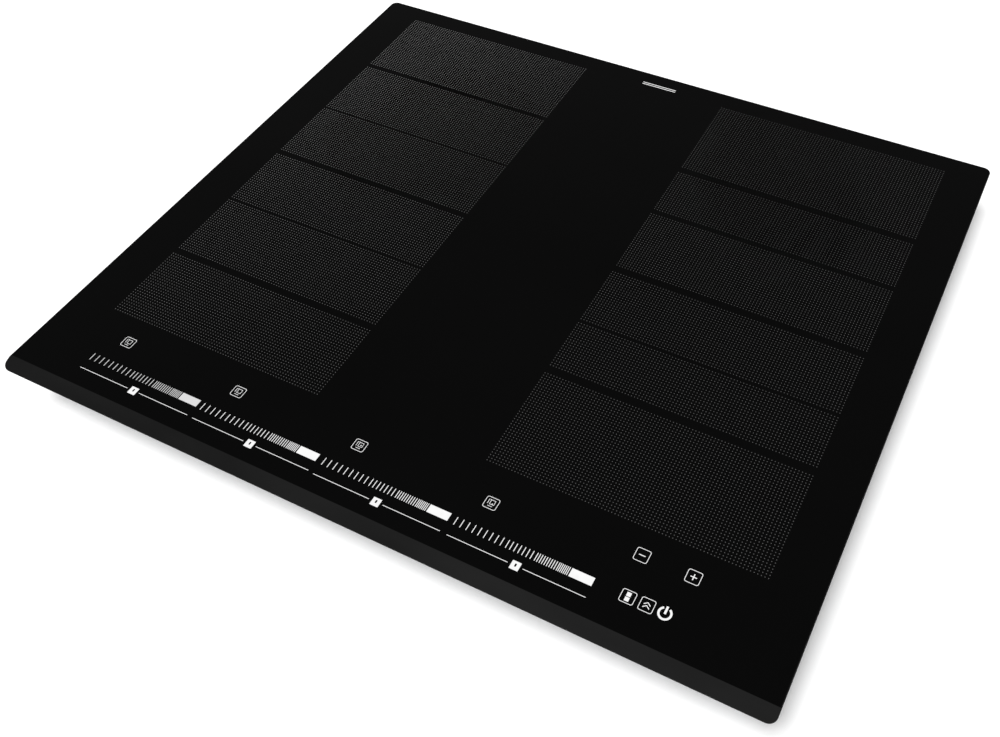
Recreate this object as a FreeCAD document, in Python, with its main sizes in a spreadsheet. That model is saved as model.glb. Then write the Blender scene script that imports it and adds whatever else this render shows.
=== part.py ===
import FreeCAD, Part
import math
import os
import re
import Sketcher
from FreeCAD import Vector

# Built-in induction hob with four coils in two flexible cooking columns.
# Millimetres, +Z up, +X to the cook's right, +Y to the back.
# The origin is the middle of the footprint, at the underside of the base pan.

os.makedirs("parts", exist_ok=True)
doc = FreeCAD.newDocument("InductionHob")

# ---------------------------------------------------------------- sizes
# Driving sizes: plain numbers, changed here to change the hob.
DRIVING = (
    ("glass_width", 590, "glass plate, left to right"),
    ("glass_depth", 520, "glass plate, front to back"),
    ("glass_thickness", 4, "glass-ceramic sheet"),
    ("glass_corner", 6, "plan radius of the four corners"),
    ("facet_width", 10.5, "ground facet along the front edge, seen from above"),
    ("facet_land", 0.8, "upright land left below the facet"),
    ("edge_break", 0.4, "small chamfer on the other top edges"),
    ("under_depth", 48, "underside of the glass above the base"),
    ("seal_inset", 4, "foam tape in from the glass edge"),
    ("seal_width", 6, "foam tape width"),
    ("seal_height", 2.5, "foam tape thickness"),
    ("side_overhang", 18, "glass beyond the pan, left and right"),
    ("end_overhang", 20, "glass beyond the pan, front and back"),
    ("pan_sheet", 1, "galvanised sheet"),
    ("pan_corner", 8, "plan radius of the pan corners"),
    ("rim_width", 5, "turned-in rim of the pan"),
    ("glue_height", 0.8, "silicone bead between rim and glass"),
    ("control_strip", 62, "front strip kept for the touch controls"),
    ("coil_room", 17, "underside of the tray to underside of the glass"),
    ("tray_edge", 5, "tray short of the side walls"),
    ("tray_end", 4, "tray behind the control strip"),
    ("post_inset", 11, "outer tray posts in from the side walls"),
    ("post_reach", 23, "corner tray posts behind the tray's front edge"),
    ("tray_sheet", 1.5, "aluminium tray sheet"),
    ("coil_width", 186, "coil carrier, left to right"),
    ("coil_margin", 20, "coil in from the side wall"),
    ("coil_gap", 6, "space between neighbouring coils"),
    ("coil_corner", 34, "plan radius of a coil"),
    ("float_gap", 0.3, "sprung parts below the glass"),
    ("coil_travel", 3, "how far a coil can sink on its springs"),
    ("mica_sheet", 0.5, "insulating sheet on each coil"),
    ("winding_height", 3.5, "flat litz winding"),
    ("carrier_sheet", 2.2, "coil carrier plate"),
    ("ferrite_height", 4, "ferrite bars under each coil"),
    ("ferrite_width", 12, "ferrite bar width"),
    ("sensor_radius", 7, "temperature sensor cap"),
    ("spring_sheet", 0.4, "bow spring strip"),
    ("spring_width", 8, "bow spring strip"),
    ("spring_foot", 12, "middle of a bow spring to the end of its foot"),
    ("board_level", 5, "underside of the circuit boards"),
    ("board_sheet", 1.6, "circuit board thickness"),
    ("board_width", 205, "inverter board, left to right"),
    ("board_length", 187, "circuit boards, front to back"),
    ("board_gap", 10, "boards in front of the blower housings"),
    ("filter_width", 80, "filter board, left to right"),
    ("part_gap", 3.4, "tall board parts below the tray"),
    ("heatsink_width", 40, "extruded heatsink"),
    ("fin_sheet", 2, "heatsink fin"),
    ("fan_chamber", 43.5, "radius inside the blower housing"),
    ("fan_wall", 1.5, "blower housing wall"),
    ("fan_inset", 121, "blower axis in from the side wall"),
    ("fan_setback", 25, "blower housing in front of the rear edge"),
    ("blower_gap", 3, "blower housings below the tray"),
    ("tip_gap", 3.5, "blade tips inside the chamber"),
    ("rotor_room", 10, "housing height above and below the blades"),
    ("terminal_gap", 12, "terminals beside the blower housing"),
    ("terminal_margin", 8, "terminals in from the side wall"),
    ("rotor_radius", 17, "outside of the rotor cup"),
    ("stator_radius", 13, "wound stator inside the cup"),
    ("shaft_radius", 2, "impeller shaft"),
    ("shaft_play", 0.05, "running clearance of the shaft"),
    ("vent_width", 3.5, "ventilation slot"),
    ("vent_pitch", 8, "ventilation slot spacing"),
    ("vent_length", 50, "ventilation slot"),
    ("front_vent_pitch", 11, "spacing of the slots along the front"),
    ("front_vent_length", 31, "slots along the front"),
    ("front_vent_inset", 38.4, "middle of those slots behind the front wall"),
    ("clip_width", 20, "side fixing spring"),
    ("clip_sheet", 0.8, "side fixing spring"),
    ("clip_bulge", 4.2, "how far a side spring stands out"),
    ("clip_height", 34, "side fixing spring"),
    ("clip_drop", 3.2, "side spring below the top of the rim"),
    ("clip_inset", 120, "side springs in from the front and back walls"),
    ("touch_depth", 48, "touch unit, front to back"),
    ("touch_end", 32, "touch unit short of the side walls"),
    ("touch_gap", 0.6, "touch unit behind the rim"),
    ("touch_room", 9, "spring height under the touch unit"),
    ("key_block", 76, "width kept for the keys beside the sliders"),
    ("slider_gap", 5, "between neighbouring sliders"),
    ("slider_inset", 10.6, "sliders behind the front of the touch unit"),
    ("key_inset", 32.4, "zone keys behind the front of the touch unit"),
    ("cable_bore", 5.5, "radius of the hole in the inlet grommet"),
    ("screw_radius", 1.5, "small screws"),
    ("screw_head", 3, "head radius of small screws"),
    ("lead_radius", 1.2, "insulated lead"),
    ("lead_bend", 12, "bend radius of a lead"),
    ("hinge_pin", 1, "pin radius of the terminal cover"),
    ("hinge_play", 0.05, "running clearance of the cover pins"),
)

# Sizes that follow from the driving ones.
FOLLOWING = (
    ("pan_x", "=glass_width / 2 - side_overhang"),
    ("pan_y", "=glass_depth / 2 - end_overhang"),
    ("room_x", "=pan_x - pan_sheet"),
    ("room_y", "=pan_y - pan_sheet"),
    ("rim_top", "=under_depth - glue_height"),
    ("tray_level", "=under_depth - coil_room"),
    ("tray_front", "=-pan_y + control_strip + tray_end"),
    ("tray_top", "=tray_level + tray_sheet"),
    ("coil_pitch", "=(2 * pan_y - control_strip - 6) / 2"),
    ("coil_half_x", "=coil_width / 2"),
    ("coil_x", "=room_x - coil_margin - coil_half_x"),
    ("coil_rear_y", "=pan_y - 6 - coil_pitch / 2"),
    ("coil_front_y", "=coil_rear_y - coil_pitch"),
    ("coil_half_y", "=coil_pitch / 2 - coil_gap / 2"),
    ("mica_level", "=under_depth - float_gap - mica_sheet"),
    ("winding_level", "=mica_level - winding_height"),
    ("carrier_level", "=winding_level - carrier_sheet"),
    ("ferrite_level", "=carrier_level - ferrite_height"),
    ("ferrite_reach", "=min(coil_half_x; coil_half_y) - 10"),
    ("spring_x", "=coil_half_x - 15"),
    ("spring_y", "=coil_half_y - 15"),
    ("fan_x", "=room_x - fan_inset"),
    ("fan_outer", "=fan_chamber + fan_wall"),
    ("fan_y", "=pan_y - fan_outer - fan_setback"),
    ("fan_height", "=tray_level - pan_sheet - blower_gap"),
    ("outlet_half", "=8 * fan_outer / 15"),
    ("blade_tip", "=fan_chamber - tip_gap"),
    ("blade_height", "=fan_height - rotor_room"),
    ("board_half_x", "=board_width / 2"),
    ("board_back", "=fan_y - fan_outer - board_gap"),
    ("board_front", "=board_back - board_length"),
    ("post_row", "=tray_front + 23 * (board_front - tray_front) / 51"),
    ("board_top", "=board_level + board_sheet"),
    ("tall_part", "=tray_level - board_top - part_gap"),
    ("filter_half_x", "=filter_width / 2"),
    ("heatsink_front", "=board_front + 8"),
    ("heatsink_back", "=board_back - 8"),
    ("post_x", "=room_x - post_inset"),
    ("terminal_left", "=fan_x + fan_outer + terminal_gap"),
    ("terminal_right", "=room_x - terminal_margin"),
    ("clip_top", "=rim_top - clip_drop"),
    ("clip_y", "=pan_y - clip_inset"),
    ("touch_half_x", "=room_x - touch_end"),
    ("touch_front", "=-pan_y + rim_width + touch_gap"),
    ("touch_back", "=touch_front + touch_depth"),
    ("touch_pad_level", "=under_depth - float_gap - 0.7"),
    ("touch_board_level", "=touch_pad_level - 1.3"),
    ("touch_frame_level", "=touch_board_level - 4.7"),
    ("support_level", "=touch_frame_level - touch_room"),
    ("touch_middle", "=touch_front + touch_depth / 2"),
    ("slider_pitch", "=(2 * touch_half_x - key_block) / 4"),
    ("slider_half", "=(slider_pitch - slider_gap) / 2"),
    ("slider_first", "=-touch_half_x + slider_pitch / 2 + 0.5"),
    ("slider_last", "=slider_first + 3 * slider_pitch"),
    ("slider_y", "=touch_front + slider_inset"),
    ("key_y", "=touch_front + key_inset"),
)

sheet = doc.addObject("Spreadsheet::Sheet", "dims")
row = 1
for name, size, note in DRIVING:
    sheet.set(f"A{row}", note)
    sheet.set(f"B{row}", str(size))
    sheet.setAlias(f"B{row}", name)
    row += 1
for name, formula in FOLLOWING:
    sheet.set(f"A{row}", name.replace("_", " "))
    sheet.set(f"B{row}", formula)
    sheet.setAlias(f"B{row}", name)
    row += 1
doc.recompute()

parts = []


# ---------------------------------------------------------------- helpers
def full(expression):
    """Writes each size name as dims.name, so short expressions stay readable."""
    return re.sub(r"[a-z]\w*", lambda word: "dims." + word.group(), expression)


def value(expression):
    """The number an expression has now, used to start a sketch near its answer."""
    return float(sheet.evalExpression(full(expression)))


def place(thing, x, y, z):
    """Ties where a part stands to the sizes."""
    for axis, expression in zip("xyz", (x, y, z)):
        thing.setExpression(f"Placement.Base.{axis}", full(expression))


def new_body(label, x="0", y="0", z="0"):
    """An empty body that becomes one part, or one group of like parts."""
    body = doc.addObject("PartDesign::Body", label)
    body.Label = label
    body.AllowCompound = True
    place(body, x, y, z)
    parts.append(body)
    return body


def new_sketch(body, role, level="0"):
    """A sketch on one of the body's own planes, moved along its normal."""
    support = next(f for f in body.Origin.OriginFeatures if f.Role == role)
    sketch = body.newObject("Sketcher::SketchObject", "outline")
    sketch.AttachmentSupport = [(support, "")]
    sketch.MapMode = "FlatFace"
    sketch.setExpression("AttachmentOffset.Base.z", full(level))
    return sketch


def pin(sketch, geometry, point, x, y):
    """Holds one point of a sketch at two expressions from the origin."""
    for kind, expression, axis in (("DistanceX", x, -2), ("DistanceY", y, -1)):
        if expression == "0":
            sketch.addConstraint(Sketcher.Constraint("PointOnObject", geometry, point, axis))
            continue
        rule = Sketcher.Constraint(kind, -1, 1, geometry, point, value(expression))
        index = sketch.addConstraint(rule)
        sketch.renameConstraint(index, f"size_{index}")
        sketch.setExpression(f"Constraints.size_{index}", full(expression))


def polygon(sketch, points):
    """A closed outline through points given as expressions."""
    corners = [Vector(value(x), value(y), 0) for x, y in points]
    first = sketch.GeometryCount
    count = len(points)
    for index in range(count):
        sketch.addGeometry(Part.LineSegment(corners[index], corners[(index + 1) % count]), False)
    for index in range(count):
        after = first + (index + 1) % count
        sketch.addConstraint(Sketcher.Constraint("Coincident", first + index, 2, after, 1))
        pin(sketch, first + index, 1, *points[index])


def box(sketch, left, front, right, back):
    """A rectangle given by its four sides."""
    polygon(sketch, ((left, front), (right, front), (right, back), (left, back)))


def disc(sketch, x, y, radius):
    """A circle given by its centre and radius."""
    centre = Vector(value(x), value(y), 0)
    index = sketch.addGeometry(Part.Circle(centre, Vector(0, 0, 1), value(radius)), False)
    pin(sketch, index, 3, x, y)
    rule = sketch.addConstraint(Sketcher.Constraint("Radius", index, value(radius)))
    sketch.renameConstraint(rule, f"radius_{rule}")
    sketch.setExpression(f"Constraints.radius_{rule}", full(radius))


def draw(sketch, shapes):
    """Adds a list of rectangles (four terms), circles (three) or polygons (a tuple of pairs)."""
    for shape in shapes:
        if isinstance(shape[0], tuple):
            polygon(sketch, shape)
        elif len(shape) == 4:
            box(sketch, *shape)
        else:
            disc(sketch, *shape)


def raise_from(body, level, height, shapes, role="XY_Plane"):
    """Adds material from a level, along the plane's normal."""
    sketch = new_sketch(body, role, level)
    draw(sketch, shapes)
    pad = body.newObject("PartDesign::Pad", "raised")
    pad.Profile = sketch
    pad.setExpression("Length", full(height))
    return pad


def cut_from(body, level, height, shapes, role="XY_Plane"):
    """Takes material away from a level, along the plane's normal."""
    sketch = new_sketch(body, role, level)
    draw(sketch, shapes)
    pocket = body.newObject("PartDesign::Pocket", "cut")
    pocket.Profile = sketch
    pocket.Reversed = True
    pocket.setExpression("Length", full(height))
    return pocket


def line_up(body, feature, axis, length, count):
    """Repeats one feature along a sketch axis; length is the whole run."""
    pattern = body.newObject("PartDesign::LinearPattern", "row")
    pattern.Originals = [feature]
    pattern.Direction = (feature.Profile[0], [axis])
    pattern.setExpression("Length", full(length))
    pattern.Occurrences = count
    body.Tip = pattern


def turn_round(body, feature, count):
    """Repeats one feature evenly round the body's upright axis."""
    pattern = body.newObject("PartDesign::PolarPattern", "ring")
    pattern.Originals = [feature]
    pattern.Axis = (feature.Profile[0], ["N_Axis"])
    pattern.Angle = 360
    pattern.Occurrences = count
    body.Tip = pattern


def round_corners(body, feature, radius, chosen=lambda edge: True):
    """Rounds the upright edges of a feature."""
    doc.recompute()
    names = []
    for index, edge in enumerate(feature.Shape.Edges, 1):
        if edge.Curve.TypeId != "Part::GeomLine":
            continue
        if abs(edge.Curve.Direction.z) > 0.99 and chosen(edge):
            names.append(f"Edge{index}")
    fillet = body.newObject("PartDesign::Fillet", "rounded")
    fillet.Base = (feature, names)
    fillet.setExpression("Radius", full(radius))
    return fillet


def span(half_x, half_y):
    """A rectangle centred on the body's own origin."""
    return (f"-({half_x})", f"-({half_y})", half_x, half_y)


def around(x, y, half_x, half_y):
    """A rectangle centred on a point."""
    return (f"{x} - ({half_x})", f"{y} - ({half_y})", f"{x} + {half_x}", f"{y} + {half_y}")


# ---------------------------------------------------------------- glass and its edge
def glass_top():
    """Glass-ceramic plate: rounded corners, fine edge break, wide ground facet at the front."""
    body = new_body("glass_top", z="under_depth")
    plate = raise_from(body, "0", "glass_thickness", [span("glass_width / 2", "glass_depth / 2")])
    rounded = round_corners(body, plate, "glass_corner")
    doc.recompute()
    top = value("glass_thickness")
    names = []
    for index, edge in enumerate(rounded.Shape.Edges, 1):
        if all(abs(v.Z - top) < 0.01 for v in edge.Vertexes):
            names.append(f"Edge{index}")
    bevel = body.newObject("PartDesign::Chamfer", "edge_break")
    bevel.Base = (rounded, names)
    bevel.setExpression("Size", "dims.edge_break")
    facet = (
        ("-glass_depth / 2", "facet_land"),
        ("-glass_depth / 2 + facet_width", "glass_thickness"),
        ("-glass_depth / 2 + facet_width", "glass_thickness + 2"),
        ("-glass_depth / 2 - 4", "glass_thickness + 2"),
        ("-glass_depth / 2 - 4", "facet_land"),
    )
    cut_from(body, "-glass_width / 2 - 1", "glass_width + 2", [facet], "YZ_Plane")


def frame_ring(label, level, height, outer, inner):
    """A flat closed ring with square corners, used for the foam tape and the silicone bead."""
    body = new_body(label, z=level)
    return body, raise_from(body, "0", height, [span(*outer), span(*inner)])


glass_top()
frame_ring(
    "worktop_seal",
    "under_depth - seal_height",
    "seal_height",
    ("glass_width / 2 - seal_inset", "glass_depth / 2 - seal_inset"),
    ("glass_width / 2 - seal_inset - seal_width", "glass_depth / 2 - seal_inset - seal_width"),
)
bead, bead_ring = frame_ring(
    "glass_adhesive",
    "rim_top",
    "glue_height",
    ("pan_x - 0.5", "pan_y - 0.5"),
    ("pan_x - rim_width", "pan_y - rim_width"),
)
bead_middle = value("pan_x") - value("rim_width") / 2
round_corners(bead, bead_ring, "pan_corner - 0.5", lambda edge: abs(edge.Vertexes[0].X) > bead_middle)


# ---------------------------------------------------------------- base pan
POSTS = (
    ("post_x", "tray_front + post_reach"),
    ("-post_x", "tray_front + post_reach"),
    ("post_x", "board_back + 2"),
    ("-post_x", "board_back + 2"),
    ("coil_x - 72", "post_row"),
    ("-(coil_x - 72)", "post_row"),
    ("0", "post_row"),
    ("0", "fan_y"),
)
CLIPS_Y = ("-clip_y", "clip_y")
CLIP_HOLE_Z = "clip_top - 6"
INLET = ("fan_x + 34", "16")


def base_pan():
    """Galvanised tray: turned-in rim, floor vents, terminal opening with hinge lugs, cable hole."""
    body = new_body("base_pan")
    raise_from(body, "0", "rim_top", [span("pan_x", "pan_y")])
    room = cut_from(body, "pan_sheet", "rim_top - 2 * pan_sheet", [span("room_x", "room_y")])
    sheet_middle = value("pan_x") - value("pan_sheet") / 2
    inner = round_corners(
        body, room, "pan_corner - pan_sheet", lambda edge: abs(edge.Vertexes[0].X) < sheet_middle
    )
    round_corners(body, inner, "pan_corner", lambda edge: abs(edge.Vertexes[0].X) > sheet_middle)
    mouth = span("pan_x - rim_width", "pan_y - rim_width")
    cut_from(body, "rim_top - pan_sheet - 1", "pan_sheet + 2", [mouth])
    for side in ("fan_x", "-fan_x"):
        slot = cut_from(
            body, "-1", "pan_sheet + 2",
            [around(f"{side} - 3 * vent_pitch", "fan_y", "vent_width / 2", "vent_length / 2")],
        )
        line_up(body, slot, "H_Axis", "6 * vent_pitch", 7)
    outlet = cut_from(
        body, "-1", "pan_sheet + 2",
        [around(
            "-18 * front_vent_pitch", "-pan_y + front_vent_inset",
            "vent_width / 2", "front_vent_length / 2",
        )],
    )
    line_up(body, outlet, "H_Axis", "36 * front_vent_pitch", 37)
    lugs = []
    for left in ("terminal_left - 4", "terminal_right + 2"):
        lugs.append((left, "pan_y - 0.5", f"{left} + 2", "pan_y + 4.5"))
    raise_from(body, "1.5", "5", lugs)
    cut_from(
        body, "terminal_left - 5", "terminal_right - terminal_left + 10",
        [("pan_y + 2.3", "4", "hinge_pin + hinge_play")], "YZ_Plane",
    )
    cut_from(
        body, "-pan_y - 1", "pan_sheet + 2",
        [("terminal_left + 3", "8", "terminal_right - 3", "28")], "XZ_Plane",
    )
    cut_from(body, "-pan_y - 1", "pan_sheet + 2", [(INLET[0], INLET[1], "cable_bore + 2.5")], "XZ_Plane")
    holes = [(y, CLIP_HOLE_Z, "screw_radius + 0.1") for y in CLIPS_Y]
    cut_from(body, "-pan_x - 1", "2 * pan_x + 2", holes, "YZ_Plane")


def terminal_cover():
    """Moulded flap over the mains terminals: plate, barrel along its foot, two pins, finger tab."""
    body = new_body("terminal_cover", y="pan_y", z="4")
    raise_from(body, "2", "28", [("terminal_left - 0.6", "0.5", "terminal_right + 0.6", "2.8")])
    raise_from(
        body, "terminal_left - 1.5", "terminal_right - terminal_left + 3",
        [("2.3", "0", "2.1")], "YZ_Plane",
    )
    raise_from(
        body, "terminal_left - 4", "terminal_right - terminal_left + 8",
        [("2.3", "0", "hinge_pin")], "YZ_Plane",
    )
    raise_from(body, "1", "2", [("terminal_left - 0.6", "0.9", "terminal_right + 0.6", "2.8")])
    raise_from(body, "26", "3", [around("terminal_left / 2 + terminal_right / 2", "3.4", "9", "1")])


def terminal_block():
    """Five-way moulded terminal block standing on the pan floor behind the opening."""
    body = new_body("terminal_block", z="pan_sheet")
    raise_from(
        body, "0", "14",
        [("terminal_left + 2", "room_y - 30", "terminal_right - 2", "room_y - 4")],
    )
    raise_from(
        body, "14", "8",
        [("terminal_left + 2", "room_y - 22", "terminal_right - 2", "room_y - 12")],
    )
    step = "(terminal_right - terminal_left - 12) / 4"
    wells = [(f"terminal_left + 6 + {n} * {step}", "room_y - 8", "screw_radius + 0.1") for n in range(5)]
    cut_from(body, "4", "12", wells)
    screws = new_body("terminal_screws", z="pan_sheet")
    heads = [(x, y, "screw_head - 0.4") for x, y, r in wells]
    shanks = [(x, y, "screw_radius") for x, y, r in wells]
    raise_from(screws, "14", "1.6", heads)
    raise_from(screws, "6", "8.5", shanks)


def cable_grommet():
    """Rubber grommet in the rear wall where the supply cable enters."""
    body = new_body("cable_grommet", x=INLET[0], y="pan_y", z=INLET[1])
    raise_from(body, "-2", "2", [("0", "0", "cable_bore + 5")], "XZ_Plane")
    raise_from(body, "-0.5", "2", [("0", "0", "cable_bore + 2.5")], "XZ_Plane")
    raise_from(body, "pan_sheet", "2", [("0", "0", "cable_bore + 5")], "XZ_Plane")
    cut_from(body, "-4", "9", [("0", "0", "cable_bore")], "XZ_Plane")


SHOULDER = "clip_top - 12"
CROWN = "clip_top - 22"
TIP = "clip_top - clip_height"


def side_clips():
    """Four leaf springs screwed to the side walls; they grip the sides of the worktop opening."""
    body = new_body("side_clips")
    profile = (
        ("0", "clip_top"), ("clip_sheet", "clip_top"), ("clip_sheet", SHOULDER),
        ("clip_bulge + clip_sheet", CROWN), ("2", TIP), ("2 - clip_sheet", TIP),
        ("clip_bulge", CROWN), ("0", SHOULDER),
    )
    both = []
    for side in ("", "-"):
        both.append(tuple((f"{side}(pan_x + {x})", z) for x, z in profile))
    screws = new_body("clip_screws")
    for y in CLIPS_Y:
        raise_from(body, f"-({y}) - clip_width / 2", "clip_width", both, "XZ_Plane")
    cut_from(
        body, "-pan_x - 10", "2 * pan_x + 20",
        [(y, CLIP_HOLE_Z, "screw_radius + 0.1") for y in CLIPS_Y], "YZ_Plane",
    )
    heads = [(y, CLIP_HOLE_Z, "screw_head") for y in CLIPS_Y]
    shanks = [(y, CLIP_HOLE_Z, "screw_radius") for y in CLIPS_Y]
    for start in ("pan_x + clip_sheet", "-pan_x - clip_sheet - 1.6"):
        raise_from(screws, start, "1.6", heads, "YZ_Plane")
    for start in ("pan_x - 3", "-pan_x - clip_sheet - 0.5"):
        raise_from(screws, start, "clip_sheet + 3.5", shanks, "YZ_Plane")


base_pan()
terminal_cover()
terminal_block()
cable_grommet()
side_clips()


# ---------------------------------------------------------------- coil tray on its posts
LEADS_Y = ("coil_front_y + 17", "board_back - 14")
LEAD_X = "fan_x - board_half_x + 31.5"


def coil_tray():
    """Aluminium tray that carries and shields the coils, on eight tapped posts."""
    tray = new_body("coil_tray", z="tray_level")
    raise_from(tray, "0", "tray_sheet", [
        ("-room_x + tray_edge", "tray_front", "room_x - tray_edge", "room_y - tray_edge")
    ])
    cut_from(tray, "-1", "tray_sheet + 2", [(x, y, "screw_radius + 0.2") for x, y in POSTS])
    windows = [around(x, y, "8", "9") for x in (LEAD_X, f"-({LEAD_X})") for y in LEADS_Y]
    cut_from(tray, "-1", "tray_sheet + 2", windows)
    posts = new_body("tray_standoffs", z="pan_sheet")
    raise_from(posts, "0", "tray_level - pan_sheet", [(x, y, "4") for x, y in POSTS])
    cut_from(posts, "8", "tray_level", [(x, y, "screw_radius + 0.05") for x, y in POSTS])
    screws = new_body("tray_screws", z="tray_top")
    raise_from(screws, "0", "1.5", [(x, y, "screw_head") for x, y in POSTS])
    raise_from(screws, "-12", "12.5", [(x, y, "screw_radius") for x, y in POSTS])


coil_tray()


# ---------------------------------------------------------------- four sprung coils
COILS = (
    ("front_left", "-coil_x", "coil_front_y"),
    ("rear_left", "-coil_x", "coil_rear_y"),
    ("front_right", "coil_x", "coil_front_y"),
    ("rear_right", "coil_x", "coil_rear_y"),
)


def coil(name, x, y):
    """One coil: moulded carrier, flat winding, ferrite bars, mica, sensor, four springs."""
    carrier = new_body(f"coil_carrier_{name}", x, y, "carrier_level")
    plate = raise_from(carrier, "0", "carrier_sheet", [span("coil_half_x", "coil_half_y")])
    round_corners(carrier, plate, "coil_corner")
    cut_from(carrier, "-1", "carrier_sheet + 2", [("0", "0", "sensor_radius")])

    winding = new_body(f"coil_winding_{name}", x, y, "winding_level")
    flat = raise_from(winding, "0", "winding_height", [span("coil_half_x - 5", "coil_half_y - 5")])
    round_corners(winding, flat, "coil_corner - 5")
    cut_from(winding, "-1", "winding_height + 2", [("0", "0", "26")])

    bars = new_body(f"coil_ferrites_{name}", x, y, "ferrite_level")
    bar = raise_from(
        bars, "0", "ferrite_height", [("28", "-ferrite_width / 2", "ferrite_reach", "ferrite_width / 2")]
    )
    turn_round(bars, bar, 8)

    mica = new_body(f"coil_mica_{name}", x, y, "mica_level")
    skin = raise_from(mica, "0", "mica_sheet", [span("coil_half_x - 2", "coil_half_y - 2")])
    round_corners(mica, skin, "coil_corner - 2")
    cut_from(mica, "-1", "mica_sheet + 2", [("0", "0", "sensor_radius + 4")])

    sensor = new_body(f"coil_sensor_{name}", x, y, "winding_level")
    raise_from(sensor, "-carrier_sheet - 2", "carrier_sheet + 2", [("0", "0", "sensor_radius")])
    raise_from(sensor, "0", "1", [("0", "0", "sensor_radius + 3")])
    raise_from(sensor, "1", "winding_height + mica_sheet - 1", [("0", "0", "sensor_radius")])
    bow_springs(
        f"coil_springs_{name}", x, y, "tray_top", "carrier_level",
        ("spring_x", "-spring_x"), ("spring_y", "-spring_y"),
    )


def bow_springs(label, x, y, foot, head, spots_x, spots_y):
    """A group of arched spring-steel strips: feet on the lower level, crown below the upper one."""
    body = new_body(label, x, y, foot)
    rise = f"{head} - {foot} - float_gap"
    half = (
        ("spring_foot", "0"), ("spring_foot", "spring_sheet"), ("8.3", "spring_sheet"), ("3.3", rise),
        ("-3.3", rise), ("-8.3", "spring_sheet"), ("-spring_foot", "spring_sheet"), ("-spring_foot", "0"),
        ("-8", "0"), ("-3", f"{rise} - spring_sheet"), ("3", f"{rise} - spring_sheet"), ("8", "0"),
    )
    arches = [tuple((f"{spot} + {px}", pz) for px, pz in half) for spot in spots_x]
    for spot in spots_y:
        raise_from(body, f"-({spot}) - spring_width / 2", "spring_width", arches, "XZ_Plane")


for name, x, y in COILS:
    coil(name, x, y)


# ---------------------------------------------------------------- touch controls
SLIDERS = [f"slider_first + {n} * slider_pitch" for n in range(4)]
KEYS = [(f"slider_first - 34 + {n} * slider_pitch", "key_y") for n in range(4)]
KEYS += [(f"slider_last + {x}", "key_y + 7") for x in (67, 101.4)]
KEYS += [(f"slider_last + {x}", "slider_y") for x in (71, 83.6, 95.4)]
SPRING_X = "touch_half_x - 24"
TOUCH_SPRINGS = (f"-({SPRING_X})", f"-({SPRING_X}) / 3", f"({SPRING_X}) / 3", SPRING_X)


def touch_controls():
    """Sprung touch unit: electrode pads, circuit board, light bars, moulded frame, steel bridge."""
    pads = new_body("touch_pads", z="touch_pad_level")
    strips = [around(x, "slider_y", "slider_half", "4") for x in SLIDERS]
    raise_from(pads, "0", "0.7", strips + [around(x, y, "5", "5") for x, y in KEYS])

    edge = ("-touch_half_x", "touch_front", "touch_half_x", "touch_back")
    board = new_body("touch_board", z="touch_board_level")
    raise_from(board, "0", "1.3", [edge])

    frame = new_body("touch_frame", z="touch_frame_level")
    raise_from(frame, "0", "4.7", [edge])
    pockets = [around(x, "touch_middle", "slider_half", "2.5") for x in SLIDERS]
    cut_from(frame, "2.7", "4.7", pockets)

    lights = new_body("touch_lights", z="touch_frame_level + 2.72")
    lit = [around(x, "touch_middle", "slider_half - 0.2", "2.3") for x in SLIDERS]
    raise_from(lights, "0", "1.96", lit)
    bow_springs(
        "touch_springs", "0", "0", "support_level", "touch_frame_level",
        TOUCH_SPRINGS, ("touch_middle",),
    )

    bridge = new_body("touch_support")
    front, back = "touch_front + 4", "touch_back - 4"
    raise_from(bridge, "support_level - 1", "1", [("-touch_half_x - 8", front, "touch_half_x + 8", back)])
    for side in ("", "-"):
        leg = (f"{side}(touch_half_x + 7)", front, f"{side}(touch_half_x + 8)", back)
        raise_from(bridge, "pan_sheet", "support_level - pan_sheet", [leg])
        foot = (f"{side}(touch_half_x - 4)", front, f"{side}(touch_half_x + 8)", back)
        raise_from(bridge, "pan_sheet", "1", [foot])


touch_controls()


# ---------------------------------------------------------------- power electronics
QUARTERS_Y = [f"board_front + {n} * board_length / 8" for n in (1, 3, 5, 7)]
SIDES = (("left", "-fan_x", "-"), ("right", "fan_x", ""))


def at_side(sign, x):
    """A position measured outwards from the middle, put on the left or the right."""
    return f"{sign}({x})"


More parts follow.
